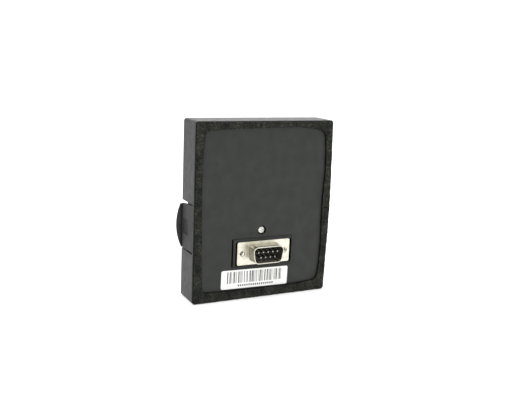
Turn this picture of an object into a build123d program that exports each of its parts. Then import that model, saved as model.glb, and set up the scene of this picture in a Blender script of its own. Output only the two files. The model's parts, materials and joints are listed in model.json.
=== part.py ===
from build123d import *
import os
from math import cos, radians, sin, sqrt, tan

# Plug-in lidar scanner module: a shallow case with a serial plug and a foam seal on its
# rear, finger latches in its sides, and a rotating-mirror scanner behind a curved window.
#
# Millimetres. The origin is the centre of the case's rear plate. +X is to the right of
# someone facing the rear, +Y runs from the rear plate to the scanning nose, +Z is up.

# Case: a tray that is open at the front
case_w = 79.2
case_h = 94.5
case_d = 16.5
wall = 2.0
rear_wall = 1.5
corner_r = 1.6
edge_r = 0.8
ledge_w = 1.2
ledge_y = 13.7
fit_gap = 0.1
post_x = 34.4
post_z = 42.05
post_r = 3.0

# Latch bays and levers, one in each side wall (right-hand values, mirrored to the left)
bay_depth = 2.9
bay_wall = 1.2
bay_z = -7.9
bay_len = 26.0
lever_root_z0, lever_tip_z0 = -19.8, -20.5
lever_root_z1, lever_tip_z1 = 4.6, 2.9
lever_t = 1.4
lever_root_y = 1.7
lip_top_reach, lip_reach, lip_low_reach = 1.0, 3.1, 0.2
lip_y = 16.3
lip_t = 1.0
lip_edge_r = 0.35
relief_w, relief_depth = 0.5, 0.4
knuckle_pad = 1.1
catch_y0, catch_y1 = 7.8, 14.8
catch_z0, catch_z1 = -12.2, -4.2
catch_depth = 0.4
hinge_x = case_w / 2 - 1.0
hinge_y = 2.7
hinge_pin_r = 0.5
hinge_bore_r = 0.54
hinge_pin_len = bay_len + 4.0
spring_y = 11.0
spring_r = 1.25
spring_wire_r = 0.2
spring_cup_r = 1.75
spring_cup_x = 33.8
spring_cup_wall = 0.9
spring_turns = 5
spring_gap = 0.02

# Serial plug: nine pins in two rows. Its flange is flush with the rear plate and stands
# free in an opening of the case, inside a recess with a shallow dish round it.
plug_x = 0.65
plug_z = -22.45
flange_w = 30.81
flange_h = 12.55
flange_t = 0.5
flange_r = 0.9
flange_hole_dx = 24.99
flange_hole_r = 1.55
socket_w, socket_h = 16.92, 8.36
shell_t = 0.4
shell_w = socket_w + 2 * shell_t
shell_h = socket_h + 2 * shell_t
shell_reach = 6.2
shell_corner_r = 2.6
shell_root_r = 0.4
shell_lean = radians(10)
pin_pitch = 2.77
pin_rows = 2.84
pin_r = 0.5
pin_reach = 5.5
insert_w = 29.6
insert_h = 11.6
insert_t = 3.0
insert_body_w, insert_body_h = 20.0, 10.6
insert_proud = 0.4
nut_r = 2.1
nut_len = 6.0
nut_bore_r = 1.12
nut_bore_d = 3.3
nut_chamfer = 0.2
thread_pitch = 0.635
thread_depth = 0.3
thread_flat = 0.08
thread_turns = 4
recess_x0, recess_x1 = -17.95, 17.6
recess_z0, recess_z1 = -29.65, -14.15
recess_r = 1.0
recess_d = 0.7
recess_floor = 2.6
recess_frame = 2.0
side_groove_w, side_groove_d = 1.15, 1.7
top_groove_w, top_groove_d = 0.5, 0.35
opening_x0, opening_z0, opening_z1 = -15.5, -29.3, -16.2
dish_w = 3.0
dish_bottom = 0.9
dish_d = 0.42
dish_steps = 4

# Rear screw, foam seal and label
rear_screw_x = -0.9
rear_screw_z = -10.4
bore_r = 2.45
bore_d = 1.8
bore_wall = 1.3
bore_floor = 0.7
foam_t = 1.3
foam_x0, foam_x1 = -39.5, 39.2
foam_z0, foam_z1 = -47.0, 47.1
foam_inner_x0, foam_inner_x1 = -35.3, 35.0
foam_inner_z0, foam_inner_z1 = -41.85, 43.4
label_x, label_z = -4.0, -36.25
label_w = 39.2
label_h = 10.2
label_t = 0.12
label_turn = -1.0

# Front cover with the scanning nose; the nose is a half cylinder about the scan axis
cover_t = 2.0
cover_y = case_d - cover_t
seal_t = cover_y - ledge_y
scan_y = 15.0
nose_r = 16.0
nose_wall = 2.2
nose_z0, nose_z1 = 0.0, 43.5
nose_cap = 2.0
nose_edge_r = 1.2
boss_y = 4.5
boss_r = 3.0
boss_gap = 0.6
window_r = 15.0
window_seal_t = 0.4
window_half_angle = 68
window_z0, window_z1 = 8.0, 34.0
view_half_angle = 62
view_z0, view_z1 = 11.0, 31.0

# Scanner: chassis, motor, mirror and receiver, stacked on the scan axis
chassis_y = 2.2
chassis_t = 1.6
chassis_half = 13.6
chassis_z1 = 41.0
inner_post_r = 2.6
inner_thread_len = 5.5
ear_reach, ear_half = 3.4, 4.0
web_t = 1.2
ear_y = 8.0
ear_t = 1.6
ear_x = 17.4
ear_zs = (9.0, 37.0)
shelf_r = 12.4
lower_shelf_z = 3.0
upper_shelf_z = 31.5
shelf_t = 2.0
ribbon_slot_x0, ribbon_slot_x1 = -11.5, -4.5

# Motor: fixed tube, bushings and stator, and the rotor round them
motor_board_t = 1.0
shaft_r = 1.0
shaft_z0, shaft_z1 = 3.2, 18.0
bush_bore_r = 1.03
bush_r = 2.5
lower_bush_z1 = 6.0
upper_bush_z0 = 9.5
tube_r = 3.0
tube_z1 = 12.2
tube_collar_r, tube_collar_t = 4.2, 0.8
tube_waist_r = 1.6
cap_t = 0.5
teeth = 9
stator_r = 8.0
stator_rim = 0.8
stator_core_r = 4.4
stator_z0, stator_t = 7.6, 2.6
tooth_gap = 1.2
tooth_w = 1.3
tooth_len = 4.0
coil_x0, coil_len = 4.6, 2.4
coil_w, coil_h = 3.9, 2.7
bell_r = 9.5
bell_skin = 0.5
bell_z0, bell_z1 = 6.6, 12.6
bell_lid_t = 1.0
magnet_z0, magnet_z1 = 7.0, 11.4
air_gap = 0.3
disc_r = 10.5
disc_t = 0.5
disc_slots = 36
sensor_half = 3.0
sensor_y1 = 5.2
sensor_z0, sensor_z1 = 12.4, 15.3

# Mirror on its hub, receiver above it, laser beside it
hub_r = 7.5
mirror_z = 22.0
mirror_t = 1.0
barrel_r = 9.0
barrel_z0, barrel_z1 = 31.2, 38.0
barrel_collar_t = 1.0
lens_r = 7.6
lens_z = 32.0
lens_edge_h = 1.0
lens_rim = 0.7
lens_sphere_r = 12.0
retainer_t = 1.4
filter_z0, filter_t = 35.6, 1.0
detector_t = 1.0
detector_post_r = 1.7
detector_thread_r = 0.75
diode_half, diode_h = 2.2, 1.1
laser_z = 29.9
laser_x0, laser_len = 9.2, 4.0
laser_r = 2.6
laser_bore_r = 1.9
saddle_half = 3.2
prism_half = 1.3
prism_leg = 2.6
detector_spots = [(-9.0, -8.4), (9.0, -8.4)]

# Main board
board_y = 8.4
board_t = 1.6
board_half_w = 29.5
board_z0, board_z1 = -44.0, -3.0
board_spots = [(-26.0, -7.5), (26.0, -7.5), (-26.0, -40.5), (26.0, -40.5)]
tail_len = 0.9
chip_gap = 0.15
lead_w, lead_t = 0.4, 0.3
control_x, control_z = -16.0, -15.0
control_w, control_h, control_span = 10.0, 1.4, 12.4
driver_x, driver_z = 14.0, -12.5
driver_w, driver_h, driver_span = 4.0, 1.5, 6.0
inductor_x, inductor_z = 20.5, -27.5
inductor_w, inductor_h = 7.0, 3.2
can_spots = [(-20.0, -36.0), (-12.0, -36.0), (-20.0, -28.0)]
can_r, can_h = 2.5, 3.8
ribbon_t = 0.25
ribbon_w = 6.0
ribbon_bend_r = 0.8
ribbon_xs = (-8.0, 4.0)
socket_block_w, socket_block_z0, socket_block_z1 = 8.0, -6.6, -3.6
socket_block_h = 2.2
socket_slot_w, socket_slot_z0, socket_slot_z1 = 6.4, -5.0, -3.0
socket_slot_h0, socket_slot_h1 = 0.9, 1.2

# Screws, the light pipe and the shallow panel of the front cover
thread_r = 0.85
cover_thread_len = 9.0
cover_hole_r = 1.15
clear_r = 1.1
sink_r = 1.95
sink_rim = 0.15
sink_gap = 0.2
sink_half_angle = 41
pan_r, pan_h = 1.9, 1.3
pipe_x, pipe_z = 20.0, -38.0
pipe_r = 1.45
pipe_len = 4.8
pipe_collar_r, pipe_collar_t = 2.2, 0.8
panel_z = -22.0
panel_w, panel_h, panel_d = 44.0, 20.0, 0.5

MIN = (Align.CENTER, Align.CENTER, Align.MIN)


def rear_plane(y):
    """Upright plane at depth y that faces the rear; local x is +X and local y is +Z."""
    return Plane(origin=(0, y, 0), x_dir=(1, 0, 0), z_dir=(0, -1, 0))


def scan_plane(z):
    """Level plane at height z, centred on the scan axis."""
    return Plane(origin=(0, scan_y, z))


def span(x0, x1, z0, z1, mode=Mode.ADD):
    """Rectangle of the current sketch between two X values and two Z values."""
    with Locations(((x0 + x1) / 2, (z0 + z1) / 2)):
        Rectangle(x1 - x0, z1 - z0, mode=mode)


def block(x0, x1, y0, y1, z0, z1, mode=Mode.ADD):
    """Upright block between pairs of coordinates."""
    with Locations(((x0 + x1) / 2, (y0 + y1) / 2, (z0 + z1) / 2)):
        Box(x1 - x0, y1 - y0, z1 - z0, mode=mode)


def slab(x, z, w, h, y0, y1, mode=Mode.ADD):
    """Block w wide and h high, centred at x and z, between two depths."""
    block(x - w / 2, x + w / 2, y0, y1, z - h / 2, z + h / 2, mode)


def side_block(side, x0, x1, y0, y1, z0, z1, mode=Mode.ADD):
    """Block given for the right-hand side, placed on either side."""
    low, high = sorted((side * x0, side * x1))
    block(low, high, y0, y1, z0, z1, mode)


def tube(z0, z1, outer, inner):
    """Ring about the scan axis, added to the part being built."""
    with BuildSketch(scan_plane(z0)) as ring:
        Circle(outer)
        Circle(inner, mode=Mode.SUBTRACT)
    extrude(ring.sketch, amount=z1 - z0)


def disc(z0, z1, radius, mode=Mode.ADD):
    """Disc about the scan axis, added to the part being built or cut from it."""
    with BuildSketch(scan_plane(z0)) as face:
        Circle(radius)
    extrude(face.sketch, amount=z1 - z0, mode=mode)


def rear_spot(x, z, y):
    """Place at depth y for something that stands on a plane facing forwards."""
    return Plane(origin=(x, y, z), z_dir=(0, 1, 0))


def corners(x, z):
    """The four points at plus and minus x and z."""
    return [(i * x, j * z) for i in (-1, 1) for j in (-1, 1)]


def ear_spots():
    return [(x, z) for x in (-ear_x, ear_x) for z in ear_zs]


def cover_outline():
    """Outline of the front cover, notched round both latch bays."""
    RectangleRounded(case_w - 2 * wall - 2 * fit_gap, case_h - 2 * wall - 2 * fit_gap, corner_r)
    notch_x = case_w / 2 - bay_depth - bay_wall - fit_gap
    notch_half = bay_len / 2 + bay_wall + fit_gap
    for side in (-1, 1):
        with Locations((side * (notch_x + 4.0), bay_z)):
            Rectangle(8.0, 2 * notch_half, mode=Mode.SUBTRACT)


def screw(head_r, head_h, shank_r, length, sunk=False):
    """Cross-head screw along +Z; the origin is where a pan head seats, or a sunk head ends."""
    if sunk:
        profile = [(0, 0), (head_r, 0), (head_r, -sink_rim), (shank_r, -head_h), (shank_r, -length),
                   (0, -length)]
    else:
        profile = [(0, head_h), (head_r * 0.45, head_h * 0.97), (head_r * 0.8, head_h * 0.8),
                   (head_r, head_h * 0.45), (head_r, 0), (shank_r, 0), (shank_r, -length),
                   (0, -length)]
    top = 0 if sunk else head_h
    with BuildPart() as body:
        with BuildSketch(Plane.XZ):
            with BuildLine():
                Polyline(profile, close=True)
            make_face()
        revolve(axis=Axis.Z)
        with BuildSketch(Plane.XY.offset(top)):
            Rectangle(head_r * 1.15, head_r * 0.28)
            Rectangle(head_r * 0.28, head_r * 1.15)
        extrude(amount=-head_h * 0.55, mode=Mode.SUBTRACT)
    return body.part


def dish_share(step):
    """Share of the dish's width that is left at a step; it falls from one to nothing."""
    return (dish_steps - step) / dish_steps


def dish_plane(step):
    return rear_plane(dish_d * (1 - dish_share(step) ** 2))


def dish_corner(step):
    return recess_r + 2.0 * dish_share(step)


def dish_ring(step):
    """Outline of the dish at one step, for the current sketch."""
    share = dish_share(step)
    span(recess_x0 - dish_w * share, recess_x1 + dish_w * share,
         recess_z0 - dish_bottom * share, recess_z1 + dish_w * share)


def make_rear_case():
    inner_w = case_w - 2 * wall
    inner_h = case_h - 2 * wall
    bay_x = case_w / 2 - bay_depth
    bay_in = bay_x - bay_wall
    half = bay_len / 2
    with BuildPart() as rear_case:
        with BuildSketch(rear_plane(0)):
            RectangleRounded(case_w, case_h, corner_r)
        extrude(amount=-case_d)
        fillet(rear_case.faces().sort_by(Axis.Y)[0].edges(), edge_r)
        with BuildSketch(rear_plane(rear_wall)):
            RectangleRounded(inner_w - 2 * ledge_w, inner_h - 2 * ledge_w, corner_r)
        extrude(amount=-(case_d - rear_wall), mode=Mode.SUBTRACT)
        with BuildSketch(rear_plane(ledge_y)):
            RectangleRounded(inner_w, inner_h, corner_r)
        extrude(amount=-(case_d - ledge_y), mode=Mode.SUBTRACT)
        # latch bays, with a ledge behind each that carries the cover's seal
        for side in (-1, 1):
            grow = half + bay_wall
            side_block(side, bay_in, inner_w / 2 + 0.5, 1.0, case_d, bay_z - grow, bay_z + grow)
            grow += ledge_w
            side_block(side, bay_in - ledge_w, bay_x, 1.0, ledge_y, bay_z - grow, bay_z + grow)
            with Locations(Plane(origin=(side * bay_x, spring_y, bay_z), z_dir=(-side, 0, 0))):
                Cylinder(spring_cup_r + spring_cup_wall, bay_x - spring_cup_x + spring_cup_wall,
                         align=MIN)
            side_block(side, bay_x, case_w / 2 + 1, rear_wall, case_d + 1, bay_z - half,
                       bay_z + half, Mode.SUBTRACT)
            with Locations(Plane(origin=(side * bay_x, spring_y, bay_z), z_dir=(-side, 0, 0))):
                Cylinder(spring_cup_r, bay_x - spring_cup_x, align=MIN, mode=Mode.SUBTRACT)
            with Locations((side * hinge_x, hinge_y, bay_z)):
                Cylinder(hinge_pin_r, hinge_pin_len, mode=Mode.SUBTRACT)
        # posts for the cover screws
        with BuildSketch(rear_plane(rear_wall)):
            with Locations(*corners(post_x, post_z)):
                Circle(post_r)
        extrude(amount=-(cover_y - rear_wall))
        with BuildSketch(rear_plane(cover_y)):
            with Locations(*corners(post_x, post_z)):
                Circle(thread_r)
        extrude(amount=cover_thread_len, mode=Mode.SUBTRACT)
        # posts for the main board and for the scanner's chassis
        with BuildSketch(rear_plane(rear_wall)):
            with Locations(*board_spots):
                Circle(inner_post_r)
        extrude(amount=-(board_y - rear_wall))
        with BuildSketch(rear_plane(rear_wall)):
            with Locations(*ear_spots()):
                Circle(inner_post_r)
        extrude(amount=-(ear_y - rear_wall))
        with BuildSketch(rear_plane(board_y)):
            with Locations(*board_spots):
                Circle(thread_r)
        extrude(amount=inner_thread_len, mode=Mode.SUBTRACT)
        with BuildSketch(rear_plane(ear_y)):
            with Locations(*ear_spots()):
                Circle(thread_r)
        extrude(amount=inner_thread_len, mode=Mode.SUBTRACT)
        # frame round the plug, its shallow dish, its recess, its two grooves and its opening
        block(recess_x0 - recess_frame, recess_x1 + recess_frame, rear_wall - 0.5,
              recess_d + recess_floor, recess_z0 - recess_frame, recess_z1 + recess_frame)
        for step in range(dish_steps):
            with BuildSketch(dish_plane(step)) as ring:
                dish_ring(step)
                fillet(ring.vertices(), dish_corner(step))
            with BuildSketch(dish_plane(step + 1)) as next_ring:
                dish_ring(step + 1)
                fillet(next_ring.vertices(), dish_corner(step + 1))
            loft(mode=Mode.SUBTRACT)
        with BuildSketch(rear_plane(-1.0)) as recess:
            span(recess_x0, recess_x1, recess_z0, recess_z1)
            fillet(recess.vertices(), recess_r)
        extrude(amount=-(1.0 + recess_d), mode=Mode.SUBTRACT)
        grooves = [(recess_x0 + side_groove_w, recess_z1 + 1, side_groove_d),
                   (recess_x0 - 1, recess_z1 - top_groove_w, top_groove_d)]
        for x0, z1, depth in grooves:
            with BuildSketch(rear_plane(recess_d - 0.1)) as groove:
                span(recess_x0, recess_x1, recess_z0, recess_z1)
                fillet(groove.vertices(), recess_r)
                span(x0, recess_x1 + 1, recess_z0 - 1, z1, Mode.SUBTRACT)
            extrude(amount=-(depth + 0.1), mode=Mode.SUBTRACT)
        with BuildSketch(rear_plane(recess_d - 0.5)) as opening:
            span(opening_x0, recess_x1, opening_z0, opening_z1)
            fillet(opening.vertices(), recess_r)
        extrude(amount=-(recess_floor + 1.0), mode=Mode.SUBTRACT)
        # counterbored boss of the rear screw
        with BuildSketch(rear_plane(rear_wall - 0.5)):
            with Locations((rear_screw_x, rear_screw_z)):
                Circle(bore_r + bore_wall)
        extrude(amount=-(bore_d + bore_floor + 0.5))
        with BuildSketch(rear_plane(-1.0)):
            with Locations((rear_screw_x, rear_screw_z)):
                Circle(bore_r)
        extrude(amount=-(1.0 + bore_d), mode=Mode.SUBTRACT)
        with BuildSketch(rear_plane(0)):
            with Locations((rear_screw_x, rear_screw_z)):
                Circle(clear_r)
        extrude(amount=-8.0, mode=Mode.SUBTRACT)
    rear_case.part.label = "rear_case"
    return rear_case.part


def nose_sector(radius, half_angle):
    """Sector about the scan axis that opens towards +Y, for the current sketch."""
    reach = radius * 1.6
    x = reach * sin(radians(half_angle))
    y = reach * cos(radians(half_angle))
    with BuildLine() as sides:
        Polyline((0, 0), (-x, y), (-x, reach), (x, reach), (x, y), close=True)
    make_face(sides.edges(), mode=Mode.INTERSECT)


def make_front_cover():
    with BuildPart() as front_cover:
        with BuildSketch(rear_plane(cover_y)):
            cover_outline()
        extrude(amount=-cover_t)
        with BuildSketch(scan_plane(nose_z0)):
            Circle(nose_r)
        extrude(amount=nose_z1 - nose_z0)
        block(-nose_r, nose_r, scan_y - nose_r - 1, cover_y, nose_z0 - 1, nose_z1 + 1, Mode.SUBTRACT)
        arcs = front_cover.edges().filter_by(GeomType.CIRCLE)
        rims = arcs.filter_by(lambda e: abs(e.radius - nose_r) < 0.01 and e.center().Y > case_d)
        fillet(rims, nose_edge_r)
        # hollow of the nose, open to the rear
        inner = nose_r - nose_wall
        disc(nose_z0 + nose_cap, nose_z1 - nose_cap, inner, Mode.SUBTRACT)
        block(-inner, inner, cover_y - 1, scan_y, nose_z0 + nose_cap, nose_z1 - nose_cap, Mode.SUBTRACT)
        # rebate that holds the window and the opening behind it
        with BuildSketch(scan_plane(window_z0 - fit_gap)):
            Circle(nose_r + 1)
            Circle(window_r - window_seal_t, mode=Mode.SUBTRACT)
            nose_sector(nose_r + 1, window_half_angle + 0.5)
        extrude(amount=window_z1 - window_z0 + 2 * fit_gap, mode=Mode.SUBTRACT)
        with BuildSketch(scan_plane(view_z0)):
            Circle(nose_r)
            nose_sector(nose_r, view_half_angle)
        extrude(amount=view_z1 - view_z0, mode=Mode.SUBTRACT)
        # boss that takes the rear screw
        with BuildSketch(rear_plane(cover_y)):
            with Locations((rear_screw_x, rear_screw_z)):
                Circle(boss_r)
        extrude(amount=cover_y - boss_y)
        with BuildSketch(rear_plane(boss_y - 0.5)):
            with Locations((rear_screw_x, rear_screw_z)):
                Circle(thread_r)
        extrude(amount=-8.5, mode=Mode.SUBTRACT)
        # countersunk holes, the light pipe's hole and a shallow panel under the nose
        for x, z in corners(post_x, post_z):
            with Locations(rear_spot(x, z, case_d)):
                CounterSinkHole(cover_hole_r, sink_r + sink_gap, cover_t + 1)
        with Locations(rear_spot(pipe_x, pipe_z, case_d)):
            Hole(pipe_r + fit_gap / 2)
        with BuildSketch(rear_plane(case_d)):
            with Locations((0, panel_z)):
                RectangleRounded(panel_w, panel_h, 2.0)
        extrude(amount=panel_d, mode=Mode.SUBTRACT)
    front_cover.part.label = "front_cover"
    return front_cover.part


def make_scan_window():
    with BuildPart() as scan_window:
        with BuildSketch(scan_plane(window_z0)):
            Circle(nose_r)
            Circle(window_r, mode=Mode.SUBTRACT)
            nose_sector(nose_r, window_half_angle)
        extrude(amount=window_z1 - window_z0)
    scan_window.part.label = "scan_window"
    return scan_window.part


def make_window_seal():
    with BuildPart() as window_seal:
        with BuildSketch(scan_plane(window_z0)):
            Circle(window_r)
            Circle(window_r - window_seal_t, mode=Mode.SUBTRACT)
            nose_sector(nose_r, window_half_angle)
        extrude(amount=window_z1 - window_z0)
        with BuildSketch(scan_plane(view_z0)):
            Circle(nose_r)
            nose_sector(nose_r, view_half_angle)
        extrude(amount=view_z1 - view_z0, mode=Mode.SUBTRACT)
    window_seal.part.label = "window_seal"
    return window_seal.part


def make_cover_seal():
    """Rubber loop on the case's ledge; it turns inwards round each screw post."""
    with BuildPart() as cover_seal:
        with BuildSketch(rear_plane(ledge_y)):
            cover_outline()
            with Locations(*corners(post_x, post_z)):
                Circle(post_r + fit_gap, mode=Mode.SUBTRACT)
            with Locations(*corners(post_x + 2, post_z + 2)):
                Rectangle(4.0, 4.0, mode=Mode.SUBTRACT)
            offset(amount=-(ledge_w - 2 * fit_gap), mode=Mode.SUBTRACT)
        extrude(amount=-seal_t)
    cover_seal.part.label = "cover_seal"
    return cover_seal.part


def make_foam_gasket():
    with BuildPart() as foam_gasket:
        with BuildSketch(rear_plane(-foam_t)) as frame:
            span(foam_x0, foam_x1, foam_z0, foam_z1)
            fillet(frame.vertices(), 1.5)
        extrude(amount=-foam_t)
        with BuildSketch(rear_plane(-foam_t)) as inside:
            span(foam_inner_x0, foam_inner_x1, foam_inner_z0, foam_inner_z1)
            fillet(inside.vertices(), 3.5)
        extrude(amount=-foam_t, mode=Mode.SUBTRACT)
    foam_gasket.part.label = "foam_gasket"
    return foam_gasket.part


def make_rear_label():
    with BuildPart() as rear_label:
        with BuildSketch(rear_plane(-label_t)):
            with Locations(Location((label_x, label_z), label_turn)):
                RectangleRounded(label_w, label_h, 1.0)
        extrude(amount=-label_t)
    rear_label.part.label = "rear_label"
    return rear_label.part


def d_outline(inset):
    """D-shaped outline of the plug, wide side up, with sides that lean in by 10 degrees."""
    radius = shell_corner_r - inset
    height = shell_h - 2 * inset
    lean = height * tan(shell_lean)
    # the rounded corners cut the sharp outline short by this much on each side
    lost = radius * (tan(shell_lean) + 1 / cos(shell_lean) - 1)
    half = shell_w / 2 - inset + lost
    with BuildSketch(mode=Mode.PRIVATE) as outline:
        with BuildLine():
            Polyline((-half, height / 2), (half, height / 2), (half - lean, -height / 2),
                     (-half + lean, -height / 2), close=True)
        make_face()
        fillet(outline.vertices(), radius)
    return outline.sketch


def plug_plane(y):
    """Upright plane at depth y that faces the rear, centred on the plug."""
    return Plane(origin=(plug_x, y, plug_z), x_dir=(1, 0, 0), z_dir=(0, -1, 0))


def flange_holes(radius):
    """The two fixing holes of the plug's flange, for the current sketch."""
    with Locations((-flange_hole_dx / 2, 0), (flange_hole_dx / 2, 0)):
        Circle(radius, mode=Mode.SUBTRACT)


def make_connector_shell():
    with BuildPart() as connector_shell:
        with BuildSketch(plug_plane(0)):
            RectangleRounded(flange_w, flange_h, flange_r)
            flange_holes(flange_hole_r)
        extrude(amount=-flange_t)
        with BuildSketch(plug_plane(0)):
            add(d_outline(0))
        extrude(amount=shell_reach)
        rim = connector_shell.edges().filter_by(lambda e: abs(e.center().Y) < 0.01)
        root = rim.filter_by(lambda e: abs(e.center().X - plug_x) < shell_w / 2 + 0.1
                             and abs(e.center().Z - plug_z) < shell_h / 2 + 0.1)
        fillet(root, shell_root_r)
        with BuildSketch(plug_plane(-shell_reach - 0.5)):
            add(d_outline(shell_t))
        extrude(amount=-(shell_reach + 2), mode=Mode.SUBTRACT)
    connector_shell.part.label = "connector_shell"
    return connector_shell.part


def pin_spots():
    """Places of the nine pins about the plug's centre: five above, four below."""
    top = [((i - 2) * pin_pitch, pin_rows / 2) for i in range(5)]
    low = [((i - 1.5) * pin_pitch, -pin_rows / 2) for i in range(4)]
    return top + low


def make_connector_insert():
    body_end = flange_t + insert_t
    with BuildPart() as connector_insert:
        with BuildSketch(plug_plane(flange_t)):
            RectangleRounded(insert_w, insert_h, flange_r)
            flange_holes(nut_r)
        extrude(amount=-insert_t)
        with BuildSketch(plug_plane(body_end)):
            Rectangle(insert_body_w, insert_body_h)
        extrude(amount=-(board_y - body_end))
        with BuildSketch(plug_plane(flange_t)):
            add(d_outline(shell_t))
        extrude(amount=flange_t + insert_proud)
        with BuildSketch(plug_plane(-1.0)):
            with Locations(*pin_spots()):
                Circle(pin_r)
        extrude(amount=-12.0, mode=Mode.SUBTRACT)
    connector_insert.part.label = "connector_insert"
    return connector_insert.part


def make_connector_pins():
    with BuildPart() as connector_pins:
        with BuildSketch(plug_plane(-pin_reach)):
            with Locations(*pin_spots()):
                Circle(pin_r)
        extrude(amount=-(pin_reach + board_y + board_t + tail_len))
        tips = connector_pins.faces().filter_by(lambda f: f.center().Y < 0.1 - pin_reach)
        fillet(tips.edges(), 0.4)
    connector_pins.part.label = "connector_pins"
    return connector_pins.part


def make_connector_nuts():
    """Blind nuts behind the flange's holes, for jackscrews; the turns of thread are grooves."""
    back = flange_t + nut_len
    thread_y = flange_t + nut_chamfer
    profile = [(0, back), (nut_r, back), (nut_r, flange_t), (nut_bore_r + nut_chamfer, flange_t)]
    for turn in range(thread_turns):
        start = thread_y + turn * thread_pitch
        groove_y = start + 0.5 * (thread_pitch + thread_flat)
        profile += [(nut_bore_r, start), (nut_bore_r, start + thread_flat),
                    (nut_bore_r + thread_depth, groove_y)]
    profile += [(nut_bore_r, thread_y + thread_turns * thread_pitch),
                (nut_bore_r, flange_t + nut_bore_d), (0, flange_t + nut_bore_d)]
    with BuildPart() as connector_nuts:
        for x in (-flange_hole_dx / 2, flange_hole_dx / 2):
            axis_x = plug_x + x
            with BuildSketch(Plane(origin=(axis_x, 0, plug_z), x_dir=(1, 0, 0), z_dir=(0, 0, 1))):
                with BuildLine():
                    Polyline(profile, close=True)
                make_face()
            revolve(axis=Axis((axis_x, 0, plug_z), (0, 1, 0)))
    connector_nuts.part.label = "connector_nuts"
    return connector_nuts.part


def make_screws():
    """Cover screws, rear screw, board screws and chassis screws."""
    sunk_h = sink_rim + (sink_r - thread_r) / tan(radians(sink_half_angle))
    with BuildPart() as cover_screws:
        with Locations(*[rear_spot(x, z, case_d - 0.05) for x, z in corners(post_x, post_z)]):
            add(screw(sink_r, sunk_h, thread_r, cover_thread_len - 1, sunk=True))
    cover_screws.part.label = "cover_screws"
    with BuildPart() as case_screw:
        with Locations(Plane(origin=(rear_screw_x, bore_d, rear_screw_z), x_dir=(0.94, 0, 0.34),
                             z_dir=(0, -1, 0))):
            add(screw(bore_r - 0.35, 1.35, thread_r, 9.0))
    case_screw.part.label = "case_screw"
    with BuildPart() as board_screws:
        with Locations(*[rear_spot(x, z, board_y + board_t) for x, z in board_spots]):
            add(screw(pan_r, pan_h, thread_r, inner_thread_len + 1))
    board_screws.part.label = "board_screws"
    with BuildPart() as chassis_screws:
        with Locations(*[rear_spot(x, z, ear_y + ear_t) for x, z in ear_spots()]):
            add(screw(pan_r, pan_h, thread_r, inner_thread_len + 1))
    chassis_screws.part.label = "chassis_screws"
    with BuildPart() as detector_screws:
        with Locations(*[(x, scan_y + y, barrel_z1 + detector_t) for x, y in detector_spots]):
            add(screw(1.5, 1.0, detector_thread_r, 4.5))
    detector_screws.part.label = "detector_screws"
    return [cover_screws.part, case_screw.part, board_screws.part, chassis_screws.part,
            detector_screws.part]


def make_light_pipe():
    with BuildPart() as light_pipe:
        with Locations(Plane(origin=(pipe_x, case_d, pipe_z), z_dir=(0, -1, 0))):
            Cylinder(pipe_r, pipe_len, align=MIN)
        with Locations(Plane(origin=(pipe_x, cover_y, pipe_z), z_dir=(0, -1, 0))):
            Cylinder(pipe_collar_r, pipe_collar_t, align=MIN)
    light_pipe.part.label = "light_pipe"
    return light_pipe.part


def make_board():
    """Main board with the parts soldered to it."""
    front = board_y + board_t
    pieces = []
    with BuildPart() as main_board:
        with BuildSketch(rear_plane(board_y)):
            span(-board_half_w, board_half_w, board_z0, board_z1)
            with Locations(*board_spots):
                Circle(clear_r, mode=Mode.SUBTRACT)
            with Locations((rear_screw_x, rear_screw_z)):
                Circle(boss_r + boss_gap, mode=Mode.SUBTRACT)
            with Locations(*[(plug_x + x, plug_z + z) for x, z in pin_spots()]):
                Circle(pin_r, mode=Mode.SUBTRACT)
        extrude(amount=-board_t)
        upright = main_board.edges().filter_by(Axis.Y)
        fillet(upright.filter_by(lambda e: abs(e.center().X) > board_half_w - 0.5), 1.0)
    main_board.part.label = "main_board"
    pieces.append(main_board.part)

    with BuildPart() as control_chip:
        slab(control_x, control_z, control_w, control_w, front + chip_gap, front + control_h)
        for i in range(9):
            step = (i - 4) * 1.0
            slab(control_x, control_z + step, control_span, lead_w, front, front + lead_t)
            slab(control_x + step, control_z, lead_w, control_span, front, front + lead_t)
    control_chip.part.label = "control_chip"
    pieces.append(control_chip.part)

    with BuildPart() as driver_chip:
        slab(driver_x, driver_z, driver_w, driver_w + 1, front + chip_gap, front + driver_h)
        for i in range(4):
            slab(driver_x, driver_z + (i - 1.5) * 1.2, driver_span, lead_w, front, front + lead_t)
    driver_chip.part.label = "driver_chip"
    pieces.append(driver_chip.part)

    with BuildPart() as power_inductor:
        slab(inductor_x, inductor_z, inductor_w, inductor_w, front, front + inductor_h)
        fillet(power_inductor.edges().filter_by(Axis.Y), inductor_w / 5)
    power_inductor.part.label = "power_inductor"
    pieces.append(power_inductor.part)

    with BuildPart() as board_capacitors:
        with Locations(*[rear_spot(x, z, front) for x, z in can_spots]):
            Cylinder(can_r, can_h, align=MIN)
        for i in range(6):
            slab(-1.2 + i * 3.0, pipe_z, 1.6, 0.8, front, front + 0.8)
    board_capacitors.part.label = "board_capacitors"
    pieces.append(board_capacitors.part)

    with BuildPart() as ribbon_sockets:
        for x in ribbon_xs:
            block(x - socket_block_w / 2, x + socket_block_w / 2, front, front + socket_block_h,
                  socket_block_z0, socket_block_z1)
            block(x - socket_slot_w / 2, x + socket_slot_w / 2, front + socket_slot_h0,
                  front + socket_slot_h1, socket_slot_z0, socket_slot_z1, Mode.SUBTRACT)
    ribbon_sockets.part.label = "ribbon_sockets"
    pieces.append(ribbon_sockets.part)

    with BuildPart() as status_led:
        slab(pipe_x, pipe_z, 2.4, 1.6, front, front + 0.9)
    status_led.part.label = "status_led"
    pieces.append(status_led.part)
    return pieces


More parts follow.
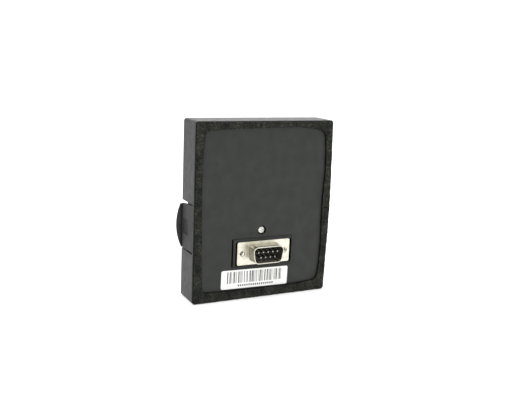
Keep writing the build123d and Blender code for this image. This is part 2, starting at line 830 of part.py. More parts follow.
def make_optical_chassis():
    back = chassis_y + chassis_t
    top = upper_shelf_z + shelf_t
    with BuildPart() as optical_chassis:
        block(-chassis_half, chassis_half, chassis_y, back, lower_shelf_z, chassis_z1)
        for side in (-1, 1):
            side_block(side, chassis_half - web_t, chassis_half, chassis_y, ear_y + ear_t,
                       lower_shelf_z, chassis_z1)
            for z in ear_zs:
                side_block(side, chassis_half - web_t, ear_x + ear_reach, ear_y, ear_y + ear_t,
                           z - ear_half, z + ear_half)
        for z in (lower_shelf_z, upper_shelf_z):
            with BuildSketch(scan_plane(z)):
                Circle(shelf_r)
                with Locations((0, (back - scan_y) / 2)):
                    Rectangle(2 * shelf_r, scan_y - back)
            extrude(amount=shelf_t)
        disc(lower_shelf_z - 1, lower_shelf_z + shelf_t + 1, tube_r, Mode.SUBTRACT)
        disc(upper_shelf_z - 1, top + 1, barrel_r, Mode.SUBTRACT)
        # saddle under the upper shelf that carries the laser's barrel
        block(barrel_r, shelf_r, scan_y - saddle_half, scan_y + saddle_half, laser_z, upper_shelf_z)
        with Locations(Plane(origin=(barrel_r - 1, scan_y, laser_z), z_dir=(1, 0, 0))):
            Cylinder(laser_r, 6.0, align=MIN, mode=Mode.SUBTRACT)
        # posts for the detector board
        with BuildSketch(scan_plane(top - 0.5)):
            with Locations(*detector_spots):
                Circle(detector_post_r)
        extrude(amount=barrel_z1 - top + 0.5)
        with BuildSketch(scan_plane(barrel_z1)):
            with Locations(*detector_spots):
                Circle(detector_thread_r)
        extrude(amount=-4.0, mode=Mode.SUBTRACT)
        # slot that lets the motor's ribbon up through the lower shelf
        block(ribbon_slot_x0, ribbon_slot_x1, back, sensor_y1 + 0.2, lower_shelf_z - 1,
              lower_shelf_z + shelf_t + 1, Mode.SUBTRACT)
        with BuildSketch(rear_plane(ear_y)):
            with Locations(*ear_spots()):
                Circle(clear_r)
        extrude(amount=-3.0, mode=Mode.SUBTRACT)
    optical_chassis.part.label = "optical_chassis"
    return optical_chassis.part


def make_stator():
    """Fixed half of the motor: board, tube with its bushings, core, coils and encoder sensor."""
    deck = lower_shelf_z + shelf_t
    board_top = deck + motor_board_t
    pieces = []
    with BuildPart() as motor_board:
        with BuildSketch(scan_plane(deck)):
            Circle(10.0)
            with Locations(((ribbon_slot_x0 + ribbon_slot_x1) / 2, -6.0)):
                Rectangle(ribbon_w, 7.0)
            Circle(tube_r, mode=Mode.SUBTRACT)
        extrude(amount=motor_board_t)
    motor_board.part.label = "motor_board"
    pieces.append(motor_board.part)

    with BuildPart() as bearing_tube:
        tube(lower_shelf_z, tube_z1, tube_r, bush_r)
        tube(board_top, board_top + tube_collar_t, tube_collar_r, tube_r - 0.2)
        tube(lower_bush_z1, upper_bush_z0, tube_r, tube_waist_r)
    bearing_tube.part.label = "bearing_tube"
    pieces.append(bearing_tube.part)

    for name, z0, z1 in (("lower_bushing", shaft_z0, lower_bush_z1),
                         ("upper_bushing", upper_bush_z0, tube_z1)):
        with BuildPart() as bushing:
            tube(z0, z1, bush_r, bush_bore_r)
        bushing.part.label = name
        pieces.append(bushing.part)

    with BuildPart() as thrust_cap:
        disc(lower_shelf_z - cap_t, lower_shelf_z, tube_r)
        disc(lower_shelf_z, shaft_z0, bush_r)
    thrust_cap.part.label = "thrust_cap"
    pieces.append(thrust_cap.part)

    with BuildPart() as stator_core:
        with BuildSketch(scan_plane(stator_z0)):
            Circle(stator_r)
            Circle(stator_r - stator_rim, mode=Mode.SUBTRACT)
            with PolarLocations(stator_r, teeth, start_angle=180 / teeth):
                Rectangle(tooth_len, tooth_gap, mode=Mode.SUBTRACT)
            Circle(stator_core_r)
            with PolarLocations(stator_r - stator_rim - tooth_len * 0.4, teeth):
                Rectangle(tooth_len, tooth_w)
            Circle(tube_r, mode=Mode.SUBTRACT)
        extrude(amount=stator_t)
    stator_core.part.label = "stator_core"
    pieces.append(stator_core.part)

    with BuildPart() as stator_coils:
        for i in range(teeth):
            angle = radians(360 / teeth * i)
            out = (cos(angle), sin(angle), 0)
            seat = Plane(origin=(coil_x0 * out[0], scan_y + coil_x0 * out[1], stator_z0 + stator_t / 2),
                         z_dir=out, x_dir=(0, 0, 1))
            with BuildSketch(seat):
                RectangleRounded(coil_w, coil_h, 0.4)
                Rectangle(stator_t, tooth_w, mode=Mode.SUBTRACT)
            extrude(amount=coil_len)
    stator_coils.part.label = "stator_coils"
    pieces.append(stator_coils.part)

    with BuildPart() as encoder_sensor:
        slot_z = bell_z1 + bell_lid_t + disc_t / 2
        block(-sensor_half, sensor_half, chassis_y + chassis_t, sensor_y1, sensor_z0, sensor_z1)
        block(-sensor_half - 0.1, sensor_half + 0.1, sensor_y1 - 1.0, sensor_y1 + 0.1, slot_z - 0.5,
              slot_z + 0.5, Mode.SUBTRACT)
    encoder_sensor.part.label = "encoder_sensor"
    pieces.append(encoder_sensor.part)
    return pieces


def make_rotor():
    """Turning half of the motor: shaft, bell with its ring magnet, and encoder disc."""
    lid_top = bell_z1 + bell_lid_t
    pieces = []
    with BuildPart() as motor_shaft:
        disc(shaft_z0, shaft_z1, shaft_r)
    motor_shaft.part.label = "motor_shaft"
    pieces.append(motor_shaft.part)

    with BuildPart() as rotor_bell:
        tube(bell_z0, bell_z1, bell_r, bell_r - bell_skin)
        tube(bell_z1, lid_top, bell_r, shaft_r)
    rotor_bell.part.label = "rotor_bell"
    pieces.append(rotor_bell.part)

    with BuildPart() as rotor_magnet:
        tube(magnet_z0, magnet_z1, bell_r - bell_skin, stator_r + air_gap)
    rotor_magnet.part.label = "rotor_magnet"
    pieces.append(rotor_magnet.part)

    with BuildPart() as encoder_disc:
        tube(lid_top, lid_top + disc_t, disc_r, shaft_r)
        with BuildSketch(scan_plane(lid_top - 0.1)):
            with PolarLocations(disc_r - 0.45, disc_slots):
                Rectangle(0.5, 0.8)
        extrude(amount=disc_t + 0.5, mode=Mode.SUBTRACT)
    encoder_disc.part.label = "encoder_disc"
    pieces.append(encoder_disc.part)
    return pieces


def mirror_plane():
    """Plane of the mirror's back: through the scan axis, facing forwards and up at 45 degrees."""
    return Plane(origin=(0, scan_y, mirror_z), x_dir=(1, 0, 0), z_dir=(0, 1, 1))


def make_mirror_hub():
    with BuildPart() as mirror_hub:
        tube(bell_z1 + bell_lid_t + disc_t, mirror_z + hub_r, hub_r, shaft_r)
        disc(shaft_z1, mirror_z + hub_r, hub_r)
        split(bisect_by=mirror_plane(), keep=Keep.BOTTOM)
    mirror_hub.part.label = "mirror_hub"
    return mirror_hub.part


def make_scan_mirror():
    with BuildPart() as scan_mirror:
        disc(mirror_z - hub_r - 2, mirror_z + hub_r + 4, hub_r - 0.2)
        split(bisect_by=mirror_plane(), keep=Keep.TOP)
        split(bisect_by=mirror_plane().offset(mirror_t), keep=Keep.BOTTOM)
    scan_mirror.part.label = "scan_mirror"
    return scan_mirror.part


def make_receiver():
    """Lens barrel with its lens, retainer and filter, and the detector board on top."""
    shelf_top = upper_shelf_z + shelf_t
    dome_r = lens_r - lens_rim
    pieces = []
    with BuildPart() as lens_barrel:
        tube(barrel_z0, lens_z, barrel_r, lens_r - 0.8)
        tube(lens_z, barrel_z1, barrel_r, lens_r)
        tube(shelf_top, shelf_top + barrel_collar_t, barrel_r + 1.0, barrel_r - 0.5)
        block(-lens_r, lens_r, scan_y - 0.6, scan_y + 0.6, barrel_z0, lens_z)
    lens_barrel.part.label = "lens_barrel"
    pieces.append(lens_barrel.part)

    sag = lens_sphere_r - sqrt(lens_sphere_r ** 2 - dome_r ** 2)
    with BuildPart() as receiver_lens:
        with BuildSketch(Plane(origin=(0, scan_y, lens_z), x_dir=(1, 0, 0), z_dir=(0, -1, 0))):
            with BuildLine():
                Polyline((0, lens_edge_h + sag), (0, 0), (lens_r, 0), (lens_r, lens_edge_h),
                         (dome_r, lens_edge_h))
                RadiusArc((dome_r, lens_edge_h), (0, lens_edge_h + sag), -lens_sphere_r)
            make_face()
        revolve(axis=Axis((0, scan_y, 0), (0, 0, 1)))
    receiver_lens.part.label = "receiver_lens"
    pieces.append(receiver_lens.part)

    with BuildPart() as lens_retainer:
        tube(lens_z + lens_edge_h, lens_z + lens_edge_h + retainer_t, lens_r, dome_r + 0.05)
    lens_retainer.part.label = "lens_retainer"
    pieces.append(lens_retainer.part)

    with BuildPart() as optical_filter:
        disc(filter_z0, filter_z0 + filter_t, lens_r)
    optical_filter.part.label = "optical_filter"
    pieces.append(optical_filter.part)

    with BuildPart() as detector_board:
        with BuildSketch(scan_plane(barrel_z1)):
            with Locations((0, -0.6)):
                RectangleRounded(23.0, 20.0, 1.0)
            Circle(12.9, mode=Mode.INTERSECT)
            with Locations(*detector_spots):
                Circle(detector_thread_r + 0.2, mode=Mode.SUBTRACT)
        extrude(amount=detector_t)
    detector_board.part.label = "detector_board"
    pieces.append(detector_board.part)

    with BuildPart() as photodiode:
        block(-diode_half, diode_half, scan_y - diode_half, scan_y + diode_half, barrel_z1 - diode_h,
              barrel_z1)
    photodiode.part.label = "photodiode"
    pieces.append(photodiode.part)
    return pieces


def make_laser():
    """Laser in its barrel beside the receiver, and the prism that turns its beam down."""
    axis = Plane(origin=(laser_x0, scan_y, laser_z), z_dir=(1, 0, 0))
    pieces = []
    with BuildPart() as laser_barrel:
        with BuildSketch(axis):
            Circle(laser_r)
            Circle(laser_bore_r, mode=Mode.SUBTRACT)
        extrude(amount=laser_len)
    laser_barrel.part.label = "laser_barrel"
    pieces.append(laser_barrel.part)

    for name, start, length in (("collimator_lens", 0.3, 1.2), ("laser_diode", 2.0, 2.0)):
        with BuildPart() as plug:
            with BuildSketch(axis.offset(start)):
                Circle(laser_bore_r)
            extrude(amount=length)
        plug.part.label = name
        pieces.append(plug.part)

    with BuildPart() as fold_prism:
        with BuildSketch(Plane(origin=(0, scan_y + prism_half, 0), x_dir=(1, 0, 0), z_dir=(0, -1, 0))):
            with BuildLine():
                Polyline((-prism_half, barrel_z0), (prism_half, barrel_z0),
                         (-prism_half, barrel_z0 - prism_leg), close=True)
            make_face()
        extrude(amount=2 * prism_half)
    fold_prism.part.label = "fold_prism"
    pieces.append(fold_prism.part)
    return pieces


def ribbon(name, seat, width, path):
    """Flat ribbon of one width; its bent path is drawn on the plane through one of its edges."""
    with BuildPart() as strip:
        with BuildSketch(seat):
            with BuildLine():
                FilletPolyline(*path, radius=ribbon_bend_r)
            trace(line_width=ribbon_t)
        extrude(amount=-width)
    strip.part.label = name
    return strip.part


def make_ribbons():
    """Ribbons from the main board to the motor and the detector, and one on to the laser."""
    half = ribbon_t / 2
    socket_y = board_y + board_t + (socket_slot_h0 + socket_slot_h1) / 2
    socket_z = socket_slot_z0 + 0.1
    motor_top = lower_shelf_z + shelf_t + motor_board_t + half
    board_top = barrel_z1 + detector_t + half
    behind_y = (rear_wall + chassis_y) / 2
    slot_y = 4.6
    over_y, over_z = 7.4, chassis_z1 + 1.2
    laser_x = laser_x0 + laser_len + half
    left_edge = Plane(origin=(ribbon_xs[0] + ribbon_w / 2, 0, 0), x_dir=(0, 1, 0), z_dir=(1, 0, 0))
    right_edge = Plane(origin=(ribbon_xs[1] + ribbon_w / 2, 0, 0), x_dir=(0, 1, 0), z_dir=(1, 0, 0))
    front_edge = Plane(origin=(0, scan_y - 2, 0), x_dir=(1, 0, 0), z_dir=(0, -1, 0))
    motor_path = [(socket_y, socket_z), (socket_y, 1.0), (slot_y, 1.0), (slot_y, motor_top),
                  (7.0, motor_top)]
    detector_path = [(socket_y, socket_z), (socket_y, 0.0), (behind_y, 0.0), (behind_y, over_z),
                     (over_y, over_z), (over_y, board_top), (10.0, board_top)]
    laser_path = [(laser_x, laser_z - 1.3), (laser_x, board_top), (8.6, board_top)]
    return [ribbon("motor_ribbon", left_edge, ribbon_w, motor_path),
            ribbon("detector_ribbon", right_edge, ribbon_w, detector_path),
            ribbon("laser_ribbon", front_edge, 4.0, laser_path)]


def make_latch(name, side):
    """One finger latch; its lever lies in the side wall and its lip stands out in front."""
    outer = case_w / 2
    inner = outer - lever_t
    front = lip_y + lip_t
    knuckle_x = hinge_x - knuckle_pad
    mid_z = (lever_tip_z0 + lever_tip_z1) / 2
    with BuildPart() as latch:
        # plate of the lever and the knuckle round its pin
        with BuildSketch(Plane.XY.offset(lever_tip_z0)):
            with BuildLine():
                Polyline((outer, lever_root_y), (outer, front), (inner, front), (inner, hinge_y + 1.6),
                         (knuckle_x, hinge_y + 0.6), (knuckle_x, lever_root_y + 0.2),
                         (knuckle_x + 0.2, lever_root_y), close=True)
            make_face()
        extrude(amount=lever_root_z1 - lever_tip_z0)
        # lip: a plate bounded by one long arc, with a relief groove at its root
        with BuildSketch(rear_plane(lip_y)):
            with BuildLine():
                low = (outer + lip_low_reach, lever_tip_z0)
                high = (outer + lip_top_reach, lever_tip_z1)
                Polyline(low, (inner, lever_tip_z0), (inner, lever_tip_z1), high)
                ThreePointArc(high, (outer + lip_reach, mid_z), low)
            make_face()
        extrude(amount=-lip_t)
        rim = latch.edges().filter_by(lambda e: e.center().Y > front - 0.01 and e.center().X > outer)
        fillet(rim, lip_edge_r)
        block(outer - relief_depth, outer + 0.1, lip_y - relief_w, lip_y, lever_tip_z0 - 1,
              lever_root_z1 + 1, Mode.SUBTRACT)
        # both ends taper from the root to the tip
        with BuildSketch(Plane(origin=(inner - 4, 0, 0), x_dir=(0, 1, 0), z_dir=(1, 0, 0))):
            with BuildLine():
                Polyline((0, lever_root_z1), (lever_root_y, lever_root_z1), (front + 1, lever_tip_z1),
                         (front + 1, 20), (0, 20), close=True)
            make_face()
            with BuildLine():
                Polyline((0, lever_root_z0), (lever_root_y, lever_root_z0), (front, lever_tip_z0),
                         (front + 1, lever_tip_z0), (front + 1, -40), (0, -40), close=True)
            make_face()
        extrude(amount=12.0, mode=Mode.SUBTRACT)
        # catch pocket, a little deeper at its rear wall
        with BuildSketch(Plane.XY.offset(catch_z0)):
            with BuildLine():
                Polyline((outer + 0.1, catch_y0), (outer - catch_depth, catch_y0),
                         (outer - catch_depth + 0.1, catch_y1), (outer + 0.1, catch_y1), close=True)
            make_face()
        extrude(amount=catch_z1 - catch_z0, mode=Mode.SUBTRACT)
        with Locations((hinge_x, hinge_y, bay_z)):
            Cylinder(hinge_bore_r, 2 * bay_len, mode=Mode.SUBTRACT)
    lever = latch.part if side > 0 else mirror(latch.part, about=Plane.YZ)
    lever.label = name
    return lever


def make_latch_pin(name, side):
    with BuildPart() as latch_pin:
        with Locations((side * hinge_x, hinge_y, bay_z)):
            Cylinder(hinge_pin_r, hinge_pin_len)
    latch_pin.part.label = name
    return latch_pin.part


def make_latch_spring(name, side):
    seat = case_w / 2 - lever_t - spring_wire_r - spring_gap
    start = spring_cup_x + spring_wire_r + spring_gap
    with BuildPart() as latch_spring:
        with BuildLine() as coil:
            Helix(pitch=(seat - start) / spring_turns, height=seat - start, radius=spring_r,
                  center=(side * start, spring_y, bay_z), direction=(side, 0, 0))
        with BuildSketch(Plane(origin=coil.line @ 0, z_dir=coil.line % 0)):
            Circle(spring_wire_r)
        sweep(is_frenet=True)
    latch_spring.part.label = name
    return latch_spring.part


def main():
    os.makedirs("parts", exist_ok=True)
    pieces = [make_rear_case(), make_front_cover(), make_scan_window(), make_window_seal(),
              make_cover_seal(), make_foam_gasket(), make_rear_label(), make_connector_shell(),
              make_connector_insert(), make_connector_pins(), make_connector_nuts(),
              make_light_pipe(), make_optical_chassis(), make_mirror_hub(), make_scan_mirror()]
    pieces += make_screws()
    pieces += make_board()
    pieces += make_stator()
    pieces += make_rotor()
    pieces += make_receiver()
    pieces += make_laser()
    pieces += make_ribbons()
    for side, word in ((-1, "left"), (1, "right")):
        pieces.append(make_latch(f"latch_lever_{word}", side))
        pieces.append(make_latch_pin(f"latch_pin_{word}", side))
        pieces.append(make_latch_spring(f"latch_spring_{word}", side))
    for piece in pieces:
        export_step(piece, f"parts/{piece.label}.step")
        print(f"{piece.label:20s} {piece.volume:10.2f} mm3  {len(piece.solids())} solids")


main()
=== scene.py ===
import json
import math
import random

import bpy
from mathutils import Matrix, Vector, noise


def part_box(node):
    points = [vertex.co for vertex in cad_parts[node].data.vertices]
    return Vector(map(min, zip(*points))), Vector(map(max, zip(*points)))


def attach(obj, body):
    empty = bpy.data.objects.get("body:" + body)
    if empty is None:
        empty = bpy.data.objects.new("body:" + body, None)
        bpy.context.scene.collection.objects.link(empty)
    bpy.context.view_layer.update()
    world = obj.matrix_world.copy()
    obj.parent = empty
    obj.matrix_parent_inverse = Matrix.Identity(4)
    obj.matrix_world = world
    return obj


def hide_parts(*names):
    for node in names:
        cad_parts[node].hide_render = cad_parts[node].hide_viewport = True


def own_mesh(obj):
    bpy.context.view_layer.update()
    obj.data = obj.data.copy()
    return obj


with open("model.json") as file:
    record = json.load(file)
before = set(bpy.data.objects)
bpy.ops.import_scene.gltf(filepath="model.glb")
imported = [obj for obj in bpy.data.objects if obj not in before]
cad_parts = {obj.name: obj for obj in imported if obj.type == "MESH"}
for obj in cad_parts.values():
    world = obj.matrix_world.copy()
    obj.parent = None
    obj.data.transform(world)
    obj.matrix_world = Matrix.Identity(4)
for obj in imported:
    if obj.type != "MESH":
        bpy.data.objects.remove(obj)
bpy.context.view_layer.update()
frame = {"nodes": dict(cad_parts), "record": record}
nodes = frame["nodes"]
MM = 0.001

# places in the row frame that some of the materials follow
PIN_TIP_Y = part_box("connector_pins")[0].y
LEVER_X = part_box("rear_case")[1].x
POCKET_X = LEVER_X - 0.4 * MM
LIP_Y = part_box("latch_lever_left")[1].y - 1.0 * MM
SCAN_AXIS_Y = (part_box("motor_shaft")[0].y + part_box("motor_shaft")[1].y) / 2

# ---------------------------------------------------------------- shader helpers


def new_material(name, roughness, metallic=0.0):
    """A material, its node tree, its shader and the coordinates of the row frame in metres."""
    mat = bpy.data.materials.new(name)
    mat.use_nodes = True
    tree = mat.node_tree
    shader = tree.nodes["Principled BSDF"]
    shader.inputs["Roughness"].default_value = roughness
    shader.inputs["Metallic"].default_value = metallic
    place = tree.nodes.new("ShaderNodeTexCoord")
    return mat, tree, shader, place.outputs["Object"]


def noise_fac(tree, place, grain_mm, detail=3.0, stretch=(1, 1, 1)):
    """Noise whose lumps are about grain_mm across; stretch squeezes it along an axis."""
    scaled = tree.nodes.new("ShaderNodeMapping")
    scaled.inputs["Scale"].default_value = [s / (grain_mm * MM) for s in stretch]
    tree.links.new(place, scaled.inputs["Vector"])
    node = tree.nodes.new("ShaderNodeTexNoise")
    node.inputs["Scale"].default_value = 1.0
    node.inputs["Detail"].default_value = detail
    tree.links.new(scaled.outputs["Vector"], node.inputs["Vector"])
    return node.outputs["Fac"]


def cell_distance(tree, place, cell_mm):
    """Distance to the nearest of scattered points about cell_mm apart, in cells."""
    scaled = tree.nodes.new("ShaderNodeMapping")
    scaled.inputs["Scale"].default_value = [1 / (cell_mm * MM)] * 3
    tree.links.new(place, scaled.inputs["Vector"])
    node = tree.nodes.new("ShaderNodeTexVoronoi")
    node.inputs["Scale"].default_value = 1.0
    tree.links.new(scaled.outputs["Vector"], node.inputs["Vector"])
    return node.outputs["Distance"]


def ramp(tree, fac, stops):
    """Colour ramp; stops are (position, (r, g, b))."""
    node = tree.nodes.new("ShaderNodeValToRGB")
    elements = node.color_ramp.elements
    while len(elements) < len(stops):
        elements.new(0.5)
    for element, (position, colour) in zip(elements, stops):
        element.position = position
        element.color = (*colour, 1)
    tree.links.new(fac, node.inputs["Fac"])
    return node.outputs["Color"]


def spread(tree, fac, low, high, start=0.3, end=0.7):
    """Maps a 0..1 value onto a range, for roughness and the like."""
    node = tree.nodes.new("ShaderNodeMapRange")
    node.inputs["From Min"].default_value = start
    node.inputs["From Max"].default_value = end
    node.inputs["To Min"].default_value = low
    node.inputs["To Max"].default_value = high
    tree.links.new(fac, node.inputs["Value"])
    return node.outputs["Result"]


def bump(tree, shader, height, depth_mm, under=None):
    """Bump of depth_mm on the shader's normal; under is a bump that it is added to."""
    node = tree.nodes.new("ShaderNodeBump")
    node.inputs["Distance"].default_value = depth_mm * MM
    node.inputs["Strength"].default_value = 1.0
    tree.links.new(height, node.inputs["Height"])
    if under is not None:
        tree.links.new(under, node.inputs["Normal"])
    tree.links.new(node.outputs["Normal"], shader.inputs["Normal"])
    return node.outputs["Normal"]


def multiplied(tree, colour, *layers):
    """A colour with other colours multiplied over it."""
    for layer in layers:
        mix = tree.nodes.new("ShaderNodeMix")
        mix.data_type = "RGBA"
        mix.blend_type = "MULTIPLY"
        mix.inputs["Factor"].default_value = 1.0
        tree.links.new(colour, mix.inputs["A"])
        tree.links.new(layer, mix.inputs["B"])
        colour = mix.outputs["Result"]
    return colour


def shade(colour, factor):
    """A colour made lighter or darker, at most white."""
    return tuple(min(1.0, c * factor) for c in colour)


def component(tree, vector, axis):
    """The X, Y or Z value of a vector output."""
    node = tree.nodes.new("ShaderNodeSeparateXYZ")
    tree.links.new(vector, node.inputs["Vector"])
    return node.outputs[axis]


def computed(tree, operation, *values):
    """Result of a math node on one or two values."""
    node = tree.nodes.new("ShaderNodeMath")
    node.operation = operation
    for value, socket in zip(values, node.inputs):
        tree.links.new(value, socket)
    return node.outputs["Value"]


# ---------------------------------------------------------------- materials


def moulded_plastic(name, colour, roughness=0.42, grain=0.28, depth=0.012, dust_and_side_shade=False,
                    gloss=0.42):
    """Moulded plastic: spark-eroded grain, faint mottling and worn sheen.

    If asked for, it also has a little dust, and painted shade that darkens its side walls."""
    mat, tree, shader, place = new_material(name, roughness)
    shader.inputs["Specular IOR Level"].default_value = gloss
    mottle = noise_fac(tree, place, 6.0, 6.0)
    base = ramp(tree, mottle, [(0.3, shade(colour, 0.8)), (0.7, shade(colour, 1.2))])
    if dust_and_side_shade:
        # painted shade: faces turned along X, the side walls, are darkened
        sideways = computed(tree, "ABSOLUTE", component(tree, place.node.outputs["Normal"], "X"))
        walls = ramp(tree, sideways, [(0.4, (1, 1, 1)), (0.85, (0.5, 0.5, 0.5))])
        base = multiplied(tree, base, walls)
        dust = cell_distance(tree, place, 11.0)
        mask = spread(tree, dust, 1.0, 0.0, 0.012, 0.028)
        mix = tree.nodes.new("ShaderNodeMix")
        mix.data_type = "RGBA"
        mix.inputs["B"].default_value = (0.42, 0.42, 0.40, 1)
        tree.links.new(mask, mix.inputs["Factor"])
        tree.links.new(base, mix.inputs["A"])
        base = mix.outputs["Result"]
    tree.links.new(base, shader.inputs["Base Color"])
    sheen = noise_fac(tree, place, 3.0, 5.0)
    worn = spread(tree, sheen, roughness - 0.05, roughness + 0.07)
    tree.links.new(worn, shader.inputs["Roughness"])
    bump(tree, shader, noise_fac(tree, place, grain, 2.0), depth)
    return mat


def latch_material(name):
    """Moulded plastic with painted shade in the lever's sunk catch pocket and along its lip."""
    mat = moulded_plastic(name, LATCH_GREY, 0.6, 0.22, 0.008, gloss=0.12)
    tree = mat.node_tree
    colour = tree.nodes["Principled BSDF"].inputs["Base Color"]
    place = tree.nodes["Texture Coordinate"].outputs["Object"]
    outward = computed(tree, "ABSOLUTE", component(tree, place, "X"))
    # painted shade: darker in the sunk catch pocket
    painted_pocket_shade = ramp(tree, spread(tree, outward, 0.0, 1.0, POCKET_X, LEVER_X),
                [(0.25, (0.72, 0.74, 0.72)), (0.85, (1, 1, 1))])
    # painted shade: a dark band along the root of the lip, next to the lever face
    close_in = spread(tree, outward, 1.0, 0.0, LEVER_X, LEVER_X + 1.8 * MM)
    on_lip = spread(tree, component(tree, place, "Y"), 0.0, 1.0, LIP_Y - 0.6 * MM, LIP_Y - 0.2 * MM)
    painted_root_shade = ramp(tree, computed(tree, "MULTIPLY", close_in, on_lip),
                [(0.1, (1, 1, 1)), (0.8, (0.34, 0.34, 0.34))])
    tree.links.new(multiplied(tree, colour.links[0].from_socket, painted_pocket_shade, painted_root_shade), colour)
    return mat


def plain_metal(name, colour, roughness=0.3, lay=(1, 1, 1), grain=0.35, depth=0.002):
    """Metal with fine machining or rolling marks along one direction, and faint tarnish."""
    mat, tree, shader, place = new_material(name, roughness, 1.0)
    tarnish = noise_fac(tree, place, 4.0, 4.0)
    tree.links.new(ramp(tree, tarnish, [(0.3, shade(colour, 0.9)), (0.7, shade(colour, 1.04))]),
                   shader.inputs["Base Color"])
    marks = noise_fac(tree, place, grain, 3.0, lay)
    tree.links.new(spread(tree, marks, roughness - 0.08, roughness + 0.1), shader.inputs["Roughness"])
    bump(tree, shader, marks, depth)
    return mat


def clear_glass(name, colour):
    """Glass or clear plastic with faint polishing marks."""
    mat, tree, shader, place = new_material(name, 0.03)
    shader.inputs["Transmission Weight"].default_value = 0.9
    shader.inputs["IOR"].default_value = 1.5
    haze = noise_fac(tree, place, 2.0, 3.0)
    tree.links.new(ramp(tree, haze, [(0.3, shade(colour, 0.95)), (0.7, colour)]),
                   shader.inputs["Base Color"])
    tree.links.new(spread(tree, haze, 0.02, 0.06), shader.inputs["Roughness"])
    return mat


def foam_material(name):
    """Dark open-cell foam: pits a little darker than the walls between them, and painted shade on the cut
    sides.
    """
    mat, tree, shader, place = new_material(name, 0.95)
    shader.inputs["Specular IOR Level"].default_value = 0.12
    cells = cell_distance(tree, place, 0.75)
    walls = ramp(tree, cells, [(0.1, (0.006, 0.0065, 0.006)), (0.45, (0.0205, 0.0212, 0.0193)),
                               (0.8, (0.038, 0.039, 0.0355))])
    lumps = ramp(tree, noise_fac(tree, place, 2.2, 5.0),
                 [(0.3, (0.6, 0.61, 0.6)), (0.7, (1.2, 1.2, 1.15))])
    patches = ramp(tree, noise_fac(tree, place, 9.0, 3.0),
                   [(0.35, (0.68, 0.72, 0.70)), (0.65, (1.35, 1.33, 1.24))])
    # painted shade: faces that turn away from the rear face, the cut sides, are darkened
    facing = component(tree, place.node.outputs["Normal"], "Y")
    sides = ramp(tree, spread(tree, facing, 1.0, 0.0, -1.0, 0.0),
                 [(0.35, (0.1, 0.1, 0.1)), (0.75, (1, 1, 1))])
    tree.links.new(multiplied(tree, walls, lumps, patches, sides), shader.inputs["Base Color"])
    fine = bump(tree, shader, noise_fac(tree, place, 0.3, 4.0), 0.12)
    bump(tree, shader, cells, 0.25, fine)
    return mat


def label_material(name):
    """Satin white film with a faint fibre and slightly yellowed patches."""
    mat, tree, shader, place = new_material(name, 0.35)
    patches = noise_fac(tree, place, 7.0, 4.0)
    tree.links.new(ramp(tree, patches, [(0.3, (0.86, 0.86, 0.83)), (0.7, (0.93, 0.93, 0.91))]),
                   shader.inputs["Base Color"])
    fibre = noise_fac(tree, place, 0.5, 3.0, (0.25, 1, 1))
    tree.links.new(spread(tree, fibre, 0.3, 0.42), shader.inputs["Roughness"])
    bump(tree, shader, fibre, 0.004)
    return mat


def ink_material(name):
    """Thermal print: dark grey with a slight break-up."""
    mat, tree, shader, place = new_material(name, 0.5)
    wear = noise_fac(tree, place, 0.6, 4.0)
    tree.links.new(ramp(tree, wear, [(0.3, (0.03, 0.03, 0.03)), (0.75, (0.14, 0.14, 0.135))]),
                   shader.inputs["Base Color"])
    return mat


def connector_plate(name):
    """Warm tin plate: bright flange; painted reflections make the drawn side walls duller, lay dark and
    light streaks round the drawn corners and a dark band round the shell's root.
    """
    mat, tree, shader, place = new_material(name, 0.3, 0.93)
    # painted reflection: a dark band round the shell's root, at the fillet by the flange
    painted_root_shade = ramp(tree, spread(tree, component(tree, place, "Y"), 0.0, 1.0, -1.0 * MM, 0.0),
                [(0.62, (1, 1, 1)), (0.76, (0.32, 0.29, 0.22)), (0.9, (0.5, 0.47, 0.39)),
                 (0.985, (1, 1, 1))])
    # painted reflection: dark and light streaks by how far a face turns along X, darker on the side walls
    sideways = computed(tree, "ABSOLUTE", component(tree, place.node.outputs["Normal"], "X"))
    walls = ramp(tree, sideways,
                 [(0.12, (1, 1, 1)), (0.32, (0.22, 0.2, 0.16)), (0.5, (1, 1, 1)), (0.72, (0.95, 0.94, 0.9)),
                  (0.86, (0.22, 0.21, 0.18)), (0.96, (0.36, 0.35, 0.33))])
    tarnish = noise_fac(tree, place, 2.5, 5.0)
    plate = ramp(tree, tarnish,
                 [(0.3, (0.69, 0.66, 0.54)), (0.5, (0.79, 0.77, 0.66)), (0.7, (0.85, 0.835, 0.735))])
    speckle = ramp(tree, noise_fac(tree, place, 0.55, 3.0),
                   [(0.32, (0.86, 0.85, 0.82)), (0.62, (1, 1, 1))])
    tree.links.new(multiplied(tree, plate, painted_root_shade, walls, speckle), shader.inputs["Base Color"])
    marks = noise_fac(tree, place, 0.5, 3.0, (1, 0.25, 1))
    tree.links.new(spread(tree, marks, 0.24, 0.42), shader.inputs["Roughness"])
    bump(tree, shader, marks, 0.004)
    return mat


def contact_material(name):
    """Plated pins: bright rounded tips, and painted shade that darkens the shanks behind them."""
    mat, tree, shader, place = new_material(name, 0.3, 1.0)
    depth = component(tree, place, "Y")
    # painted shade: the pins darken a few tenths of a millimetre back from their tips
    painted_shank_shade = ramp(tree, spread(tree, depth, 0.0, 1.0, PIN_TIP_Y, PIN_TIP_Y + 0.7 * MM),
                 [(0.35, (1, 1, 1)), (0.7, (0.28, 0.27, 0.24))])
    tarnish = noise_fac(tree, place, 0.8, 3.0, (1, 0.4, 1))
    plating = ramp(tree, tarnish, [(0.3, (0.34, 0.32, 0.265)), (0.7, (0.47, 0.45, 0.385))])
    tree.links.new(multiplied(tree, plating, painted_shank_shade), shader.inputs["Base Color"])
    tree.links.new(spread(tree, tarnish, 0.22, 0.4), shader.inputs["Roughness"])
    return mat


